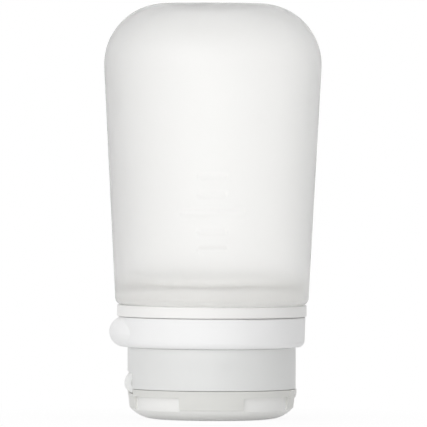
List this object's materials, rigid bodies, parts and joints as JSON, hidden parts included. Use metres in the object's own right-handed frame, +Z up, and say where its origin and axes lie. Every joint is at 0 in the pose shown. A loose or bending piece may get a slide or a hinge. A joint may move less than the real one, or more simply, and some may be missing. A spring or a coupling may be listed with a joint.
{
  "type": "travel silicone bottle",
  "caption": "Squeezable frosted silicone travel bottle standing on a screw cap with a hinged flip lid, a slit valve, a swivel ring and a small dry compartment.",
  "frame": {"origin": "middle of the flat face that it stands on, under the lid", "axes": "+Z up from the cap to the base of the bottle, -X to the hinge of the lid, +X to its thumb lip"},
  "size_m": [0.0478, 0.0478, 0.0913],
  "materials": {
    "silicone": "satin",
    "neck_plastic": "satin",
    "ring_plastic": "satin",
    "cap_plastic": "satin",
    "seal": "matte",
    "valve": "satin",
    "retainer_plastic": "satin",
    "pin_plastic": "satin",
    "lid_plastic": "satin",
    "cover_plastic": "satin"
  },
  "bodies": {
    "bottle": {"bottle_body": "silicone", "neck_ring": "neck_plastic"},
    "seal": {"cap_gasket": "seal"},
    "cap": {"cap_base": "cap_plastic", "slit_valve": "valve", "valve_retainer": "retainer_plastic", "hinge_pin": "pin_plastic"},
    "ring": {"swivel_ring": "ring_plastic"},
    "lid": {"flip_lid": "lid_plastic"},
    "cover": {"compartment_cover": "cover_plastic"}
  },
  "joints": [
    {"name": "cap_rise", "type": "slide", "parent": "bottle", "child": "seal", "axis": [0, 0, -1], "range_m": [0, 0.006]},
    {"name": "cap_turn", "type": "hinge", "parent": "seal", "child": "cap", "pos_m": [0, 0, 0.0142], "axis": [0, 0, -1], "range_deg": [0, 720]},
    {"name": "ring_swivel", "type": "hinge", "parent": "cap", "child": "ring", "pos_m": [0, 0, 0.019], "axis": [0, 0, 1], "continuous": true},
    {"name": "lid_hinge", "type": "hinge", "parent": "cap", "child": "lid", "pos_m": [-0.0169, 0, 0.008], "axis": [0, 1, 0], "range_deg": [0, 115]},
    {"name": "cover_pull", "type": "slide", "parent": "lid", "child": "cover", "axis": [0, 0, -1], "range_m": [0, 0.008]}
  ],
  "couplings": [
    {"joint": "cap_rise", "follows": "cap_turn", "m_per_rad": 0.00047746}
  ]
}
